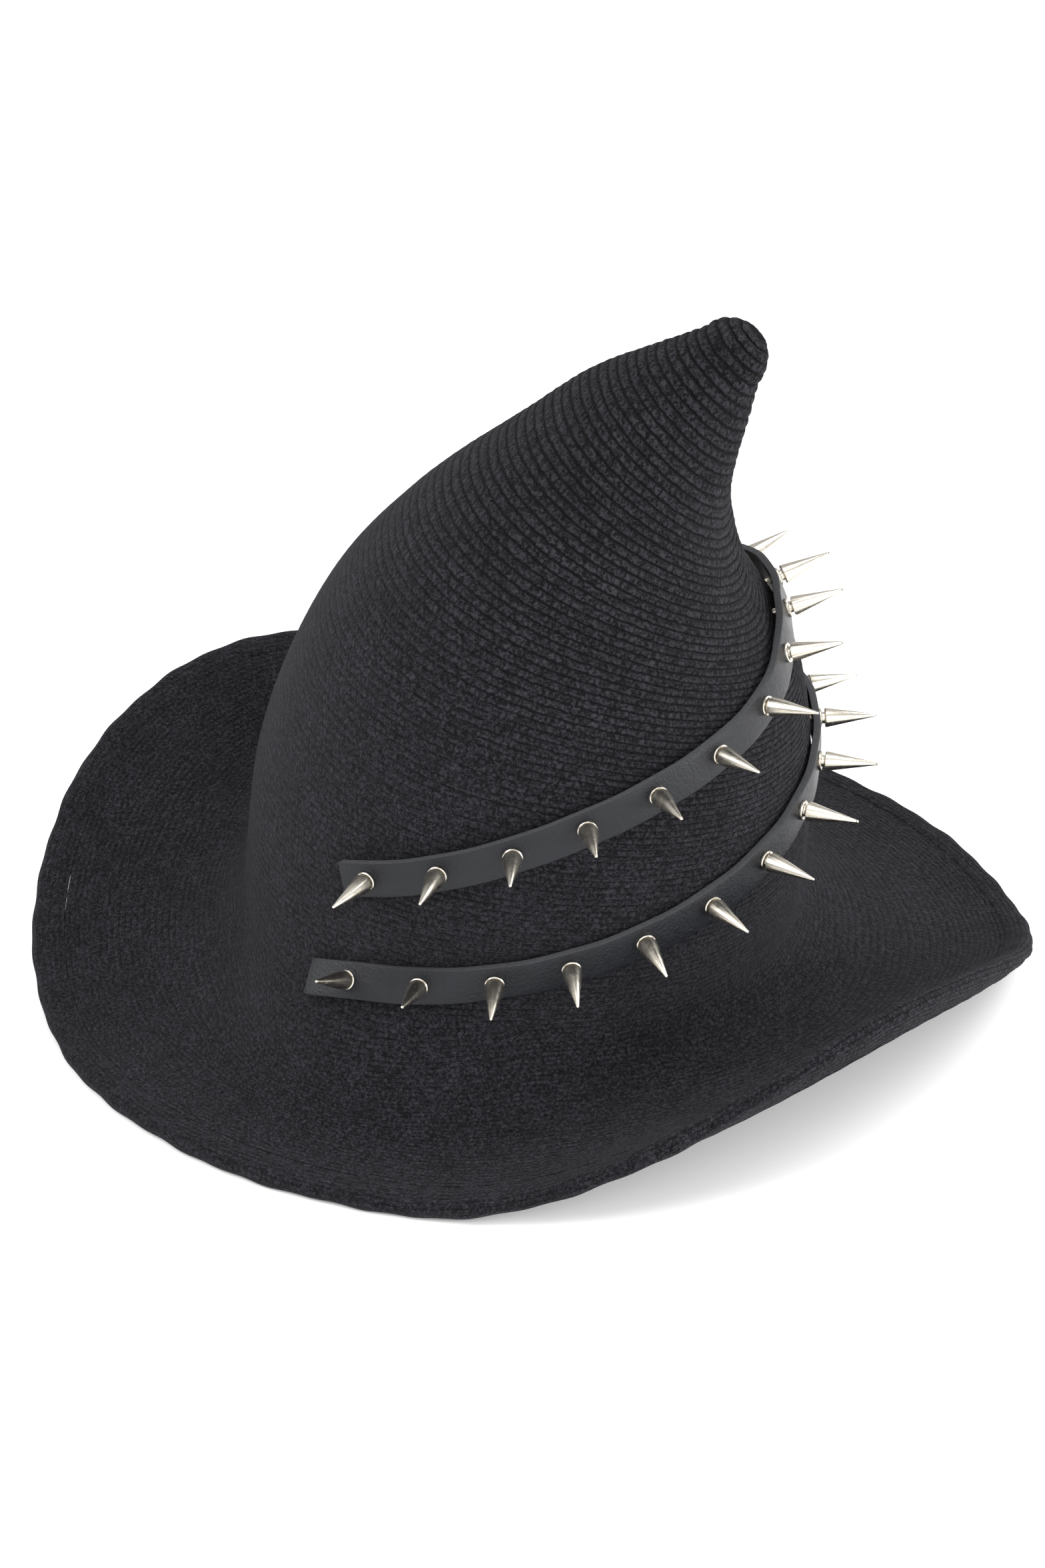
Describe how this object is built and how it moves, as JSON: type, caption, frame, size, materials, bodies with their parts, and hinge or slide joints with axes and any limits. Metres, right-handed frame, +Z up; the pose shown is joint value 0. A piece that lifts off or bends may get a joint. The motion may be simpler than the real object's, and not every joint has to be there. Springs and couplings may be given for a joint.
{
  "type": "witch hat",
  "caption": "Black knitted witch hat with a bent pointed crown, a wavy wired brim and two leather straps of metal cone spikes round the crown.",
  "frame": {"origin": "on the surface the hat rests on, under the middle of its outline", "axes": "+Z up, -Y towards the wearer's face, +Y towards the back where the tip leans, +X towards the wearer's left"},
  "size_m": [0.3098, 0.355, 0.2548],
  "materials": {
    "knit": "fuzzy wool-blend rib knit, charcoal black",
    "ribbon": "black grosgrain",
    "leather": "black fine-grain imitation leather, semi-gloss",
    "nickel": "polished nickel plate",
    "wire": "drawn steel wire"
  },
  "bodies": {
    "root": {"crown": "knit", "brim": "knit", "brim_hem": "knit", "brim_wire": "wire", "sweatband": "ribbon", "upper_strap": "leather", "lower_strap": "leather", "upper_spike_01": "nickel", "upper_spike_02": "nickel", "upper_spike_03": "nickel", "upper_spike_04": "nickel", "upper_spike_05": "nickel", "upper_spike_06": "nickel", "upper_spike_07": "nickel", "upper_spike_08": "nickel", "upper_spike_09": "nickel", "upper_spike_10": "nickel", "upper_spike_11": "nickel", "upper_spike_12": "nickel", "upper_spike_13": "nickel", "upper_spike_14": "nickel", "upper_spike_15": "nickel", "upper_spike_16": "nickel", "upper_spike_17": "nickel", "lower_spike_01": "nickel", "lower_spike_02": "nickel", "lower_spike_03": "nickel", "lower_spike_04": "nickel", "lower_spike_05": "nickel", "lower_spike_06": "nickel", "lower_spike_07": "nickel", "lower_spike_08": "nickel", "lower_spike_09": "nickel", "lower_spike_10": "nickel", "lower_spike_11": "nickel", "lower_spike_12": "nickel", "lower_spike_13": "nickel", "lower_spike_14": "nickel", "lower_spike_15": "nickel", "lower_spike_16": "nickel", "lower_spike_17": "nickel", "lower_spike_18": "nickel"}
  },
  "joints": []
}
